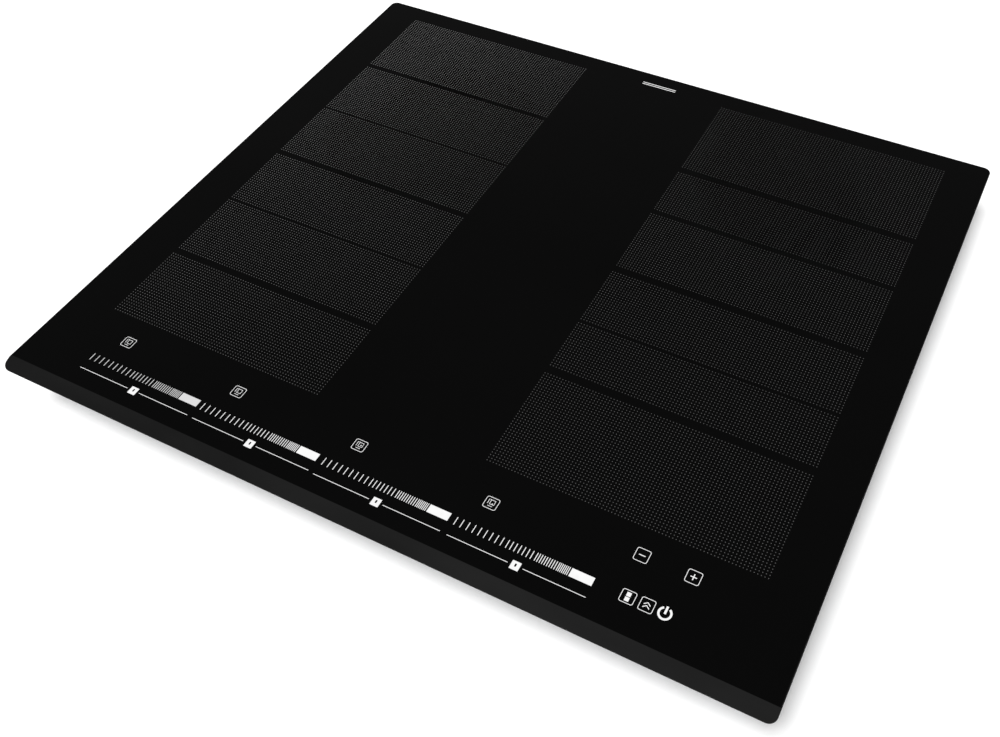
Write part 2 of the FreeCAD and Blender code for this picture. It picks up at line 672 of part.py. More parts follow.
def power_boards():
    """Two inverter boards with a finned heatsink each, and the parts that stand on them."""
    stands = []
    for side, centre, sign in SIDES:
        board = new_body(f"power_board_{side}", z="board_level")
        raise_from(board, "0", "board_sheet", [
            (f"{centre} - board_half_x", "board_front", f"{centre} + board_half_x", "board_back")
        ])
        for x in (f"{centre} - board_half_x + 6", f"{centre} + board_half_x - 6"):
            stands += [(x, "board_front + 6", "3"), (x, "board_back - 6", "3")]
        sink = new_body(f"heatsink_{side}", x=centre, z="board_top")
        length = ("heatsink_front", "heatsink_back")
        raise_from(sink, "0", "4", [("-heatsink_width / 2", length[0], "heatsink_width / 2", length[1])])
        fin = raise_from(sink, "3", "tall_part - 3", [
            ("-heatsink_width / 2", length[0], "-heatsink_width / 2 + fin_sheet", length[1])
        ])
        line_up(sink, fin, "H_Axis", "heatsink_width - fin_sheet", 6)

    transistors = new_body("power_transistors", z="board_top + 0.5")
    capacitors = new_body("capacitors", z="board_top")
    chokes = new_body("chokes", z="board_top")
    packages, cans, rings, holes = [], [], [], []
    for side, centre, sign in SIDES:
        for y in QUARTERS_Y:
            packages.append(around(at_side(sign, "fan_x + heatsink_width / 2 + 2.5"), y, "2.5", "8"))
            cans.append(around(at_side(sign, "fan_x + board_half_x - 26"), y, "9", "15"))
        spot = at_side(sign, "fan_x - heatsink_width / 2 - 32")
        rings.append((spot, "board_front + 72", "17"))
        holes.append((spot, "board_front + 72", "8"))
    cans += [around(x, "board_back - 24", "9", "15") for x in ("-18", "18")]
    rings.append(("0", "board_front + 50", "17"))
    holes.append(("0", "board_front + 50", "8"))
    raise_from(transistors, "0", "tall_part", packages)
    raise_from(capacitors, "0", "tall_part", cans)
    raise_from(chokes, "0", "14", rings)
    cut_from(chokes, "-1", "16", holes)

    filter_board = new_body("filter_board", z="board_level")
    raise_from(filter_board, "0", "board_sheet", [
        ("-filter_half_x", "board_front", "filter_half_x", "board_back")
    ])
    for x in ("-filter_half_x + 6", "filter_half_x - 6"):
        stands += [(x, "board_front + 6", "3"), (x, "board_back - 6", "3")]
    feet = new_body("board_standoffs", z="pan_sheet")
    raise_from(feet, "0", "board_level - pan_sheet", stands)


# One curved blade seen from above, in parts of the impeller radius: outwards, then sideways.
BLADE = (
    (0.7, -0.055), (0.735, -0.07), (0.8625, 0.005),
    (0.965, 0.115), (0.935, 0.13), (0.84, 0.03),
)


def blowers():
    """Two radial blowers that draw air through the pan floor and push it over the heatsinks."""
    motors = new_body("fan_motors", z="pan_sheet")
    for side, centre, sign in SIDES:
        housing = new_body(f"fan_housing_{side}", centre, "fan_y", "pan_sheet")
        raise_from(housing, "0", "fan_height", [("0", "0", "fan_outer")])
        raise_from(housing, "0", "fan_height", [("-outlet_half", "-fan_outer - 7", "outlet_half", "0")])
        inside = "fan_height - 2 * fan_wall"
        cut_from(housing, "fan_wall", inside, [("0", "0", "fan_chamber")])
        throat = ("-outlet_half + fan_wall", "-fan_outer - 9", "outlet_half - fan_wall", "0")
        cut_from(housing, "fan_wall", inside, [throat])
        cut_from(housing, "-1", "fan_wall + 2", [("0", "0", "0.7 * blade_tip")])
        raise_from(motors, "11", "fan_height - fan_wall - 11", [(centre, "fan_y", "stator_radius")])

        rotor = new_body(f"impeller_{side}", centre, "fan_y", "pan_sheet + 4")
        raise_from(rotor, "blade_height - 0.2", "1.4", [("0", "0", "blade_tip")])
        raise_from(rotor, "3", "blade_height - 1.8", [("0", "0", "rotor_radius")])
        cut_from(rotor, "5", "blade_height", [("0", "0", "stator_radius + 1.5")])
        raise_from(rotor, "4", "blade_height - 2", [("0", "0", "shaft_radius")])
        blade = raise_from(rotor, "0", "blade_height", [
            tuple((f"{out} * blade_tip", f"{lead} * blade_tip") for out, lead in BLADE)
        ])
        turn_round(rotor, blade, 24)
    bores = [(centre, "fan_y", "shaft_radius + shaft_play") for centre in ("fan_x", "-fan_x")]
    cut_from(motors, "10", "fan_height - fan_wall - 12", bores)


power_boards()
blowers()


# ---------------------------------------------------------------- wiring
def bent_lead(body, level, start_x, run_y, turn_x, end_y):
    """One lead that runs left along run_y, bends once and runs forward along turn_x."""
    route = new_sketch(body, "XY_Plane", level)
    bend = "lead_bend"
    ends = (
        ((start_x, run_y), (f"{turn_x} + {bend}", run_y)),
        ((turn_x, f"{run_y} - {bend}"), (turn_x, end_y)),
    )
    for index, line in enumerate(ends):
        corners = [Vector(value(x), value(y), 0) for x, y in line]
        route.addGeometry(Part.LineSegment(*corners), False)
        pin(route, index, 1, *line[0])
        pin(route, index, 2, *line[1])
    radius = value(bend)
    centre = Vector(value(turn_x) + radius, value(run_y) - radius, 0)
    circle = Part.Circle(centre, Vector(0, 0, 1), radius)
    route.addGeometry(Part.ArcOfCircle(circle, math.pi / 2, math.pi), False)
    route.addConstraint(Sketcher.Constraint("Coincident", 2, 1, 0, 2))
    route.addConstraint(Sketcher.Constraint("Coincident", 2, 2, 1, 1))
    bow = route.addConstraint(Sketcher.Constraint("Radius", 2, radius))
    route.renameConstraint(bow, "bow")
    route.setExpression("Constraints.bow", full(bend))
    section = new_sketch(body, "YZ_Plane", start_x)
    disc(section, run_y, level, "lead_radius")
    pipe = body.newObject("PartDesign::AdditivePipe", "lead")
    pipe.Profile = section
    pipe.Spine = (route, ["Edge1", "Edge3", "Edge2"])


def coil_leads():
    """Two stiff leads per coil, rising from the boards to just below the sunk coil carrier."""
    body = new_body("coil_leads")
    spots = []
    for x in (LEAD_X, f"-({LEAD_X})"):
        for y in LEADS_Y:
            spots += [(x, f"{y} {shift}", "lead_radius") for shift in ("- 5", "+ 5")]
    raise_from(body, "board_top", "carrier_level - coil_travel - float_gap - board_top", spots)


def supply_leads():
    """Leads from the terminals to the filter, from the filter to both boards, and to the blowers."""
    body = new_body("supply_leads")
    level = "board_top + lead_radius"
    for number in range(3):
        run_y = f"room_y - 18 + {number} * 5"
        bent_lead(body, level, "terminal_left + 2", run_y, f"10 + {number} * 5", "board_back - 5")
    links = [(f"board_front + {y}", level, "lead_radius") for y in (14, 20)]
    for start in ("filter_half_x - 8", "-fan_x + board_half_x - 8"):
        raise_from(body, start, "fan_x - board_half_x - filter_half_x + 16", links, "YZ_Plane")
    pairs = []
    for centre in ("fan_x", "-fan_x"):
        pairs += [(f"{centre} - outlet_half - {x}", level, "lead_radius") for x in (4, 8)]
    raise_from(body, "-fan_y + 0.807 * fan_outer", "15 + 0.193 * fan_outer", pairs, "XZ_Plane")


coil_leads()
supply_leads()


# ---------------------------------------------------------------- check and save
doc.recompute()
failed = []
for item in doc.Objects:
    if "Invalid" in item.State or "Error" in item.State:
        failed.append(f"{item.Label}: {item.State}")
for item in parts:
    if item.Shape.isNull() or not item.Shape.isValid() or not item.Shape.Solids:
        failed.append(f"{item.Label}: bad shape")
if failed:
    raise RuntimeError("; ".join(failed))
for item in parts:
    item.Shape.exportStep(f"parts/{item.Label}.step")
print(len(parts), "parts saved")
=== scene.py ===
import math
import bmesh
import bpy
from mathutils import Matrix, Vector


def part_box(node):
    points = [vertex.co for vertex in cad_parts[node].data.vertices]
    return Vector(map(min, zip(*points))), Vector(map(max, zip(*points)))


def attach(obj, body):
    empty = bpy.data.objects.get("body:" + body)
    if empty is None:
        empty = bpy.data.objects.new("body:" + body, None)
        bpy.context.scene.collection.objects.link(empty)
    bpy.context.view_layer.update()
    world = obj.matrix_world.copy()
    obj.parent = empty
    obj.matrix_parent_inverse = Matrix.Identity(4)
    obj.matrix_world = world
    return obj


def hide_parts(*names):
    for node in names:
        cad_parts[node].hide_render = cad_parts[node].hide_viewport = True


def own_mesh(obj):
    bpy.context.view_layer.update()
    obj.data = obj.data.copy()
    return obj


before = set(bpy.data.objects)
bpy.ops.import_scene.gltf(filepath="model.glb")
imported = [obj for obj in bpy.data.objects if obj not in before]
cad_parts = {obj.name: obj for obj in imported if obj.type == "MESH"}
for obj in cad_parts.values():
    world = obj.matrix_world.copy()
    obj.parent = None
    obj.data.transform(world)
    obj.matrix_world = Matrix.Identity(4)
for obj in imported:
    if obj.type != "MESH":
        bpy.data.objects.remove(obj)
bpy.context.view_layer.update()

# ---------------------------------------------------------------- camera
# Stands in front of the right-hand front corner and looks down across the plate, as a cook
# would see the hob in its worktop. A little roll and sideways shift frame the whole plate.
camera_place = Vector((0.3017, -0.4949, 0.6309))
camera_turn = math.radians(27.94)
camera_height = math.radians(50.98)
camera_roll = math.radians(-1.54)
back = Vector((
    math.sin(camera_turn) * math.cos(camera_height),
    -math.cos(camera_turn) * math.cos(camera_height),
    math.sin(camera_height),
))
right = Vector((math.cos(camera_turn), math.sin(camera_turn), 0))
up = back.cross(right)
across = math.cos(camera_roll) * right + math.sin(camera_roll) * up
upward = math.cos(camera_roll) * up - math.sin(camera_roll) * right
lens = bpy.data.cameras.new("view_from_front_right")
lens.sensor_width = 36
lens.lens = 37.76
lens.shift_x = -0.0784
lens.clip_start = 0.01
lens.clip_end = 60
camera = bpy.data.objects.new("camera", lens)
facing = Matrix((across, upward, back)).transposed().to_4x4()
camera.matrix_world = Matrix.Translation(camera_place) @ facing
bpy.context.scene.collection.objects.link(camera)
bpy.context.scene.camera = camera

# ---------------------------------------------------------------- base pan and touch bridge
# The pan is folded from galvanised sheet; the bridge that carries the touch unit is bent from
# the same sheet. Zinc crystals show as soft grey flakes about a centimetre across.


def material(name, colour, metallic, roughness):
    """A new material with its shader, ready for its own texture nodes."""
    made = bpy.data.materials.new(name)
    made.use_nodes = True
    shader = made.node_tree.nodes["Principled BSDF"]
    shader.inputs["Base Color"].default_value = (*colour, 1)
    shader.inputs["Metallic"].default_value = metallic
    shader.inputs["Roughness"].default_value = roughness
    return made, made.node_tree.nodes, made.node_tree.links, shader


def placed_texture(nodes, links, kind, scale, stretch=(1, 1, 1)):
    """A texture laid out on the piece's own coordinates, in metres."""
    where = nodes.new("ShaderNodeTexCoord")
    spread = nodes.new("ShaderNodeMapping")
    spread.inputs["Scale"].default_value = stretch
    texture = nodes.new(kind)
    texture.inputs["Scale"].default_value = scale
    links.new(where.outputs["Object"], spread.inputs["Vector"])
    links.new(spread.outputs["Vector"], texture.inputs["Vector"])
    return texture


def shades(nodes, links, source, dark, light, shader):
    """Colours the surface by a grey texture, between two colours."""
    ramp = nodes.new("ShaderNodeValToRGB")
    ramp.color_ramp.elements[0].color = (*dark, 1)
    ramp.color_ramp.elements[1].color = (*light, 1)
    links.new(source, ramp.inputs["Fac"])
    links.new(ramp.outputs["Color"], shader.inputs["Base Color"])


def sheen_range(nodes, links, source, low, high, shader):
    """Lets a texture vary the roughness between two values."""
    spread = nodes.new("ShaderNodeMapRange")
    spread.inputs["To Min"].default_value = low
    spread.inputs["To Max"].default_value = high
    links.new(source, spread.inputs["Value"])
    links.new(spread.outputs["Result"], shader.inputs["Roughness"])


def relief(nodes, links, source, depth, shader, strength=0.5):
    """Raises the surface a little with a texture; depth in metres."""
    bump = nodes.new("ShaderNodeBump")
    bump.inputs["Strength"].default_value = strength
    bump.inputs["Distance"].default_value = depth
    links.new(source, bump.inputs["Height"])
    links.new(bump.outputs["Normal"], shader.inputs["Normal"])


def dress(made, *names):
    """Puts a finish on carried-over pieces."""
    for name in names:
        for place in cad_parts[name].material_slots:
            place.material = made


zinc, nodes, links, shader = material("galvanised_sheet", (0.5, 0.51, 0.52), 1.0, 0.42)
flakes = placed_texture(nodes, links, "ShaderNodeTexVoronoi", 95)
haze = placed_texture(nodes, links, "ShaderNodeTexNoise", 14)
haze.inputs["Detail"].default_value = 5
blend = nodes.new("ShaderNodeMix")
blend.data_type = "FLOAT"
blend.inputs["Factor"].default_value = 0.45
links.new(flakes.outputs["Color"], blend.inputs["A"])
links.new(haze.outputs["Fac"], blend.inputs["B"])
shades(nodes, links, blend.outputs["Result"], (0.40, 0.41, 0.42), (0.62, 0.63, 0.64), shader)
sheen_range(nodes, links, flakes.outputs["Color"], 0.34, 0.52, shader)
relief(nodes, links, haze.outputs["Fac"], 0.0004, shader, 0.25)
dress(zinc, "base_pan", "touch_support")

# ---------------------------------------------------------------- grommet, foam tape, bead
# The grommet is moulded rubber. The foam tape is closed-cell and stuck under the plate's edge;
# the bead of black silicone bonds the plate to the pan's turned-in rim.
rubber, nodes, links, shader = material("black_rubber", (0.022, 0.022, 0.023), 0.0, 0.62)
bloom = placed_texture(nodes, links, "ShaderNodeTexNoise", 260)
shades(nodes, links, bloom.outputs["Fac"], (0.016, 0.016, 0.017), (0.034, 0.034, 0.035), shader)
relief(nodes, links, bloom.outputs["Fac"], 0.0001, shader)
dress(rubber, "cable_grommet", "glass_adhesive")

foam, nodes, links, shader = material("foam_tape", (0.06, 0.06, 0.064), 0.0, 0.95)
cells = placed_texture(nodes, links, "ShaderNodeTexVoronoi", 1900)
shades(nodes, links, cells.outputs["Distance"], (0.028, 0.028, 0.03), (0.085, 0.085, 0.09), shader)
relief(nodes, links, cells.outputs["Distance"], 0.0003, shader, 0.8)
dress(foam, "worktop_seal")

# ---------------------------------------------------------------- terminal cover and blowers
# Injection moulded in black glass-filled nylon with a fine spark-eroded grain.
nylon, nodes, links, shader = material("black_nylon", (0.026, 0.026, 0.028), 0.0, 0.5)
grain = placed_texture(nodes, links, "ShaderNodeTexNoise", 1500)
cloud = placed_texture(nodes, links, "ShaderNodeTexNoise", 35)
shades(nodes, links, cloud.outputs["Fac"], (0.02, 0.02, 0.021), (0.034, 0.034, 0.036), shader)
sheen_range(nodes, links, cloud.outputs["Fac"], 0.42, 0.6, shader)
relief(nodes, links, grain.outputs["Fac"], 0.00015, shader)
dress(nylon, "terminal_cover", "fan_housing_left", "fan_housing_right", "impeller_left", "impeller_right")

# ---------------------------------------------------------------- springs and small screws
# Blanked from spring strip and bent, so the rolling lines run along the strip. The screws and
# the tray's posts are zinc plated.
strip, nodes, links, shader = material("spring_strip", (0.46, 0.46, 0.47), 1.0, 0.3)
lines = placed_texture(nodes, links, "ShaderNodeTexNoise", 900, (1, 0.04, 0.04))
lines.inputs["Detail"].default_value = 3
shades(nodes, links, lines.outputs["Fac"], (0.36, 0.36, 0.37), (0.56, 0.56, 0.57), shader)
sheen_range(nodes, links, lines.outputs["Fac"], 0.24, 0.42, shader)
zone_names = ("front_left", "rear_left", "front_right", "rear_right")
dress(strip, "side_clips")


def bow_strips(name, node, columns, rows):
    """Arched strips standing on their feet, in place of one carried-over group."""
    low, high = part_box(node)
    reach, width, sheet = 0.012, 0.008, 0.0004
    ramp_foot, ramp_top, bends = 0.0081, 0.0032, 10
    height = high.z - low.z
    ramp = [ramp_foot + (ramp_top - ramp_foot) * bend / bends for bend in range(bends + 1)]
    line = []
    for x in [-reach] + [-x for x in ramp] + ramp[::-1] + [reach]:
        part = min(1, max(0, (ramp_foot - abs(x)) / (ramp_foot - ramp_top)))
        line.append((x, sheet / 2 + (height - sheet) * part * part * (3 - 2 * part)))
    upper, lower = [], []
    for place, (x, z) in enumerate(line):
        before, after = line[max(0, place - 1)], line[min(len(line) - 1, place + 1)]
        run, climb = after[0] - before[0], after[1] - before[1]
        length = math.hypot(run, climb)
        upper.append((x - climb / length * sheet / 2, z + run / length * sheet / 2))
        lower.append((x + climb / length * sheet / 2, z - run / length * sheet / 2))
    outline = upper + lower[::-1]
    form = bmesh.new()
    for column in range(columns):
        middle_x = low.x + reach + (high.x - low.x - 2 * reach) * column / (columns - 1)
        for row in range(rows):
            middle_y = low.y + width / 2 + (high.y - low.y - width) * row / max(1, rows - 1)
            edges = []
            for side in (-width / 2, width / 2):
                edges.append([
                    form.verts.new((middle_x + x, middle_y + side, low.z + z)) for x, z in outline
                ])
            near, far = edges
            count = len(outline)
            for i in range(count):
                form.faces.new((near[i], near[(i + 1) % count], far[(i + 1) % count], far[i]))
            for i in range(len(line) - 1):
                for end in (near, far):
                    form.faces.new((end[i], end[i + 1], end[count - 2 - i], end[count - 1 - i]))
    bmesh.ops.recalc_face_normals(form, faces=form.faces)
    mesh = bpy.data.meshes.new(name)
    form.to_mesh(mesh)
    form.free()
    mesh.materials.append(strip)
    piece = bpy.data.objects.new(name, mesh)
    bpy.context.collection.objects.link(piece)
    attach(piece, "housing")
    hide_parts(node)
    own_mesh(piece)


for zone in zone_names:
    bow_strips(f"bow_springs_{zone}", f"coil_springs_{zone}", 2, 2)
bow_strips("touch_bow_springs", "touch_springs", 4, 1)

plated, nodes, links, shader = material("zinc_plate", (0.6, 0.6, 0.57), 1.0, 0.28)
passivate = placed_texture(nodes, links, "ShaderNodeTexNoise", 420)
shades(nodes, links, passivate.outputs["Fac"], (0.5, 0.49, 0.44), (0.68, 0.69, 0.68), shader)
sheen_range(nodes, links, passivate.outputs["Fac"], 0.2, 0.4, shader)
dress(plated, "clip_screws", "terminal_screws", "tray_screws", "tray_standoffs")

# ---------------------------------------------------------------- grey mouldings
# Terminal block, touch frame, coil carriers and board stand-offs, moulded in light grey
# heat-resistant plastic.
grey, nodes, links, shader = material("grey_moulding", (0.4, 0.41, 0.42), 0.0, 0.55)
fibres = placed_texture(nodes, links, "ShaderNodeTexNoise", 700, (1, 0.25, 1))
shades(nodes, links, fibres.outputs["Fac"], (0.34, 0.35, 0.36), (0.46, 0.47, 0.48), shader)
relief(nodes, links, fibres.outputs["Fac"], 0.0001, shader)
dress(grey, "terminal_block", "touch_frame", "board_standoffs")
dress(grey, *[f"coil_carrier_{zone}" for zone in zone_names])

# ---------------------------------------------------------------- circuit boards
# Glass-epoxy laminate under green solder mask; copper tracks show through as lighter lanes.
board, nodes, links, shader = material("circuit_board", (0.03, 0.16, 0.07), 0.0, 0.35)
tracks = placed_texture(nodes, links, "ShaderNodeTexBrick", 55)
tracks.inputs["Color1"].default_value = (0.02, 0.13, 0.05, 1)
tracks.inputs["Color2"].default_value = (0.035, 0.19, 0.08, 1)
tracks.inputs["Mortar"].default_value = (0.012, 0.08, 0.03, 1)
tracks.inputs["Mortar Size"].default_value = 0.03
links.new(tracks.outputs["Color"], shader.inputs["Base Color"])
relief(nodes, links, tracks.outputs["Fac"], 0.00005, shader, 0.4)
dress(board, "power_board_left", "power_board_right", "filter_board", "touch_board")

# ---------------------------------------------------------------- heatsinks and coil tray
# Heatsinks are extruded front to back; the tray is mill-finished sheet rolled left to right.
extruded, nodes, links, shader = material("extruded_aluminium", (0.66, 0.67, 0.68), 1.0, 0.36)
die_lines = placed_texture(nodes, links, "ShaderNodeTexNoise", 800, (1, 0.02, 1))
shades(nodes, links, die_lines.outputs["Fac"], (0.56, 0.57, 0.58), (0.76, 0.77, 0.78), shader)
sheen_range(nodes, links, die_lines.outputs["Fac"], 0.28, 0.46, shader)
dress(extruded, "heatsink_left", "heatsink_right")

rolled, nodes, links, shader = material("rolled_aluminium", (0.74, 0.75, 0.76), 1.0, 0.32)
roll_lines = placed_texture(nodes, links, "ShaderNodeTexNoise", 600, (0.02, 1, 1))
shades(nodes, links, roll_lines.outputs["Fac"], (0.66, 0.67, 0.68), (0.82, 0.83, 0.84), shader)
sheen_range(nodes, links, roll_lines.outputs["Fac"], 0.25, 0.4, shader)
dress(rolled, "coil_tray")

# ---------------------------------------------------------------- board parts, motors, leads
# Black epoxy packages, blue film-capacitor cases, dark ferrite rings, laminated steel stators
# and silicone-sleeved leads.
epoxy, nodes, links, shader = material("moulded_epoxy", (0.018, 0.018, 0.019), 0.0, 0.4)
pits = placed_texture(nodes, links, "ShaderNodeTexNoise", 1100)
shades(nodes, links, pits.outputs["Fac"], (0.012, 0.012, 0.013), (0.03, 0.03, 0.031), shader)
relief(nodes, links, pits.outputs["Fac"], 0.0001, shader)
dress(epoxy, "power_transistors")

casing, nodes, links, shader = material("capacitor_case", (0.06, 0.12, 0.34), 0.0, 0.38)
mottle = placed_texture(nodes, links, "ShaderNodeTexNoise", 220)
shades(nodes, links, mottle.outputs["Fac"], (0.05, 0.1, 0.3), (0.08, 0.15, 0.4), shader)
sheen_range(nodes, links, mottle.outputs["Fac"], 0.3, 0.48, shader)
dress(casing, "capacitors")

ferrite, nodes, links, shader = material("sintered_ferrite", (0.05, 0.05, 0.054), 0.1, 0.58)
specks = placed_texture(nodes, links, "ShaderNodeTexVoronoi", 1400)
shades(nodes, links, specks.outputs["Distance"], (0.035, 0.035, 0.038), (0.08, 0.08, 0.086), shader)
relief(nodes, links, specks.outputs["Distance"], 0.0001, shader)
dress(ferrite, "chokes", *[f"coil_ferrites_{zone}" for zone in zone_names])

stack, nodes, links, shader = material("laminated_steel", (0.32, 0.32, 0.33), 0.9, 0.45)
leaves = placed_texture(nodes, links, "ShaderNodeTexWave", 320)
leaves.bands_direction = "Z"
shades(nodes, links, leaves.outputs["Fac"], (0.2, 0.2, 0.21), (0.42, 0.42, 0.43), shader)
relief(nodes, links, leaves.outputs["Fac"], 0.0002, shader)
dress(stack, "fan_motors")

sleeve, nodes, links, shader = material("lead_sleeve", (0.2, 0.16, 0.1), 0.0, 0.6)
braid = placed_texture(nodes, links, "ShaderNodeTexWave", 500, (1, 1, 0.7))
braid.bands_direction = "DIAGONAL"
shades(nodes, links, braid.outputs["Fac"], (0.14, 0.11, 0.07), (0.3, 0.24, 0.15), shader)
relief(nodes, links, braid.outputs["Fac"], 0.0002, shader)
dress(sleeve, "coil_leads", "supply_leads")

# ---------------------------------------------------------------- coils
# Each coil is a flat spiral of enamelled litz on its carrier, covered by a pressed mica sheet,
# with a glazed ceramic sensor cap in the middle. The turns show as close copper ridges.
for zone in zone_names:
    low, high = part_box(f"coil_winding_{zone}")
    middle = (low + high) / 2
    litz, nodes, links, shader = material(f"litz_{zone}", (0.5, 0.2, 0.09), 0.85, 0.36)
    where = nodes.new("ShaderNodeTexCoord")
    centred = nodes.new("ShaderNodeMapping")
    centred.inputs["Location"].default_value = (-middle.x, -middle.y, 0)
    turns = nodes.new("ShaderNodeTexWave")
    turns.wave_type = "RINGS"
    turns.rings_direction = "Z"
    turns.inputs["Scale"].default_value = 90
    links.new(where.outputs["Object"], centred.inputs["Vector"])
    links.new(centred.outputs["Vector"], turns.inputs["Vector"])
    shades(nodes, links, turns.outputs["Fac"], (0.2, 0.07, 0.03), (0.62, 0.28, 0.13), shader)
    relief(nodes, links, turns.outputs["Fac"], 0.0006, shader, 0.9)
    dress(litz, f"coil_winding_{zone}")

mica, nodes, links, shader = material("pressed_mica", (0.6, 0.54, 0.42), 0.15, 0.4)
platelets = placed_texture(nodes, links, "ShaderNodeTexVoronoi", 330)
shades(nodes, links, platelets.outputs["Color"], (0.48, 0.42, 0.31), (0.72, 0.66, 0.53), shader)
sheen_range(nodes, links, platelets.outputs["Color"], 0.25, 0.55, shader)
dress(mica, *[f"coil_mica_{zone}" for zone in zone_names])

glaze, nodes, links, shader = material("glazed_cap", (0.78, 0.77, 0.74), 0.0, 0.22)
crackle = placed_texture(nodes, links, "ShaderNodeTexNoise", 300)
shades(nodes, links, crackle.outputs["Fac"], (0.72, 0.71, 0.67), (0.84, 0.83, 0.8), shader)
sheen_range(nodes, links, crackle.outputs["Fac"], 0.15, 0.3, shader)
dress(glaze, *[f"coil_sensor_{zone}" for zone in zone_names])

# ---------------------------------------------------------------- touch pads and light bars
# Carbon-loaded foam pads press on the plate from below; the light bars are milky acrylic.
pad_foam, nodes, links, shader = material("carbon_foam", (0.035, 0.035, 0.036), 0.0, 0.9)
pores = placed_texture(nodes, links, "ShaderNodeTexVoronoi", 2400)
shades(nodes, links, pores.outputs["Distance"], (0.015, 0.015, 0.016), (0.06, 0.06, 0.062), shader)
relief(nodes, links, pores.outputs["Distance"], 0.0002, shader)
dress(pad_foam, "touch_pads")

milky, nodes, links, shader = material("milky_acrylic", (0.84, 0.84, 0.82), 0.0, 0.3)
swirl = placed_texture(nodes, links, "ShaderNodeTexNoise", 160)
shades(nodes, links, swirl.outputs["Fac"], (0.8, 0.8, 0.77), (0.88, 0.88, 0.87), shader)
sheen_range(nodes, links, swirl.outputs["Fac"], 0.24, 0.38, shader)
dress(milky, "touch_lights")

# ---------------------------------------------------------------- glass plate
# Black glass-ceramic, polished on top. The front edge is ground to a wide sloping facet and all edges are
# left satin; the facet and thin edge bands are paler partly from the grind, partly from painted reflection
# and highlight. Wiping leaves a faint haze.
glass_low, glass_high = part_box("glass_top")
facet_start = glass_low.y + 0.0106
edge_width = 0.0007
black_glass, nodes, links, shader = material("black_glass_ceramic", (0.003, 0.003, 0.003), 0.0, 0.08)
shader.inputs["IOR"].default_value = 1.5
shader.inputs["Specular IOR Level"].default_value = 0.02
where = nodes.new("ShaderNodeTexCoord")
parts_of_place = nodes.new("ShaderNodeSeparateXYZ")
links.new(where.outputs["Object"], parts_of_place.inputs["Vector"])


def past(source, start, fade):
    """One beyond a place on the plate, zero before it, with a short fade."""
    mask = nodes.new("ShaderNodeMapRange")
    mask.inputs["From Min"].default_value = start - fade
    mask.inputs["From Max"].default_value = start + fade
    links.new(source, mask.inputs["Value"])
    return mask.outputs["Result"]


def larger(first, second):
    """The larger of two masks."""
    node = nodes.new("ShaderNodeMath")
    node.operation = "MAXIMUM"
    links.new(first, node.inputs[0])
    links.new(second, node.inputs[1])
    return node.outputs["Value"]


on_facet = past(parts_of_place.outputs["Y"], facet_start, -0.0001)
on_back = past(parts_of_place.outputs["Y"], glass_high.y - edge_width, 0.0002)
on_right = past(parts_of_place.outputs["X"], glass_high.x - edge_width, 0.0002)
on_left = past(parts_of_place.outputs["X"], glass_low.x + edge_width, -0.0002)
satin_and_painted_sheen = larger(larger(on_facet, on_back), larger(on_left, on_right))
wiped = placed_texture(nodes, links, "ShaderNodeTexNoise", 3.5, (1, 2.2, 1))
wiped.inputs["Detail"].default_value = 6
ground = placed_texture(nodes, links, "ShaderNodeTexNoise", 9, (1, 3, 1))
ground.inputs["Detail"].default_value = 7
polished_shade = nodes.new("ShaderNodeValToRGB")
polished_shade.color_ramp.elements[0].color = (0.0013, 0.0013, 0.0013, 1)
polished_shade.color_ramp.elements[1].color = (0.0021, 0.0021, 0.0021, 1)
links.new(wiped.outputs["Fac"], polished_shade.inputs["Fac"])
# Paler colour for the facet and edge bands: partly their satin grind, partly a painted reflection on the
# facet and a painted highlight along the edges.
satin_and_reflection_colour = nodes.new("ShaderNodeValToRGB")
satin_and_reflection_colour.color_ramp.elements[0].position = 0.35
satin_and_reflection_colour.color_ramp.elements[0].color = (0.0055, 0.0055, 0.0055, 1)
satin_and_reflection_colour.color_ramp.elements[1].position = 0.75
satin_and_reflection_colour.color_ramp.elements[1].color = (0.0095, 0.0095, 0.0095, 1)
links.new(ground.outputs["Fac"], satin_and_reflection_colour.inputs["Fac"])
shade = nodes.new("ShaderNodeMix")
shade.data_type = "RGBA"
links.new(satin_and_painted_sheen, shade.inputs["Factor"])
links.new(polished_shade.outputs["Color"], shade.inputs["A"])
links.new(satin_and_reflection_colour.outputs["Color"], shade.inputs["B"])
links.new(shade.outputs["Result"], shader.inputs["Base Color"])
haze = nodes.new("ShaderNodeMapRange")
haze.inputs["To Min"].default_value = 0.06
haze.inputs["To Max"].default_value = 0.14
links.new(wiped.outputs["Fac"], haze.inputs["Value"])
satin = nodes.new("ShaderNodeMix")
satin.data_type = "FLOAT"
satin.inputs["B"].default_value = 0.45
links.new(satin_and_painted_sheen, satin.inputs["Factor"])
links.new(haze.outputs["Result"], satin.inputs["A"])
links.new(satin.outputs["Result"], shader.inputs["Roughness"])
dress(black_glass, "glass_top")

# ---------------------------------------------------------------- printed dot fields
# Two columns of cooking zones are screen-printed as fields of small grey enamel dots, fired
# into the top. Each column is split into six fields by narrow plain gaps.
surface = glass_high.z
plate_left, plate_front = glass_low.x, glass_low.y
dot_pitch = 0.00234
dot_radius = 0.00034
dot_rise = 0.00003
dot_sides = 7
dot_crown = 0.86
field_rows = {
    "left": ((0.0373, 0.2232), (
        (0.0785, 0.1447), (0.1512, 0.2136), (0.2170, 0.2783),
        (0.2845, 0.3479), (0.3511, 0.4165), (0.4222, 0.5007),
    )),
    "right": ((0.3571, 0.5556), (
        (0.0829, 0.1661), (0.1735, 0.2187), (0.2224, 0.2768),
        (0.2839, 0.3489), (0.3547, 0.4045), (0.4118, 0.5007),
    )),
}

grey_enamel, nodes, links, shader = material("grey_enamel", (0.08, 0.08, 0.08), 0.0, 0.6)
shader.inputs["Specular IOR Level"].default_value = 0.1


def feed(tree_links, node, terms):
    """Fills a node's inputs in order; terms are sockets or plain numbers."""
    for place, term in enumerate(terms):
        if isinstance(term, (int, float)):
            node.inputs[place].default_value = term
        else:
            tree_links.new(term, node.inputs[place])


